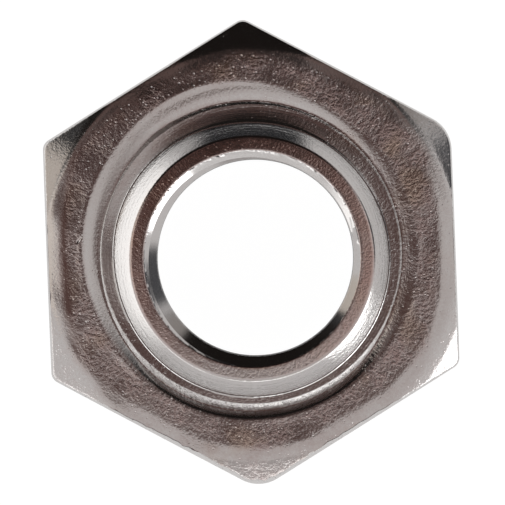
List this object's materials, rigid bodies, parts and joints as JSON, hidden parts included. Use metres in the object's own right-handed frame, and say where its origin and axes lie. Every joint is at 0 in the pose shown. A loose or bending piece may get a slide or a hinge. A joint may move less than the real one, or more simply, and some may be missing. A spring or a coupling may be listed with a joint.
{
  "type": "adjusting nut",
  "caption": "Forged hexagon nut with a fine internal thread, a low conical collar on a grooved ledge round the bore, and chamfered corners, bright plated.",
  "frame": {"origin": "on the thread axis, in the plain seat face", "axes": "+Z along the thread axis, out through the collar; two corners of the hexagon lie along +Y and -Y, and two flats face +X and -X"},
  "size_m": [0.022, 0.025, 0.01],
  "materials": {
    "plating": "bright plating over a forged and turned steel surface"
  },
  "bodies": {
    "root": {"adjusting_nut": "plating"}
  },
  "joints": []
}
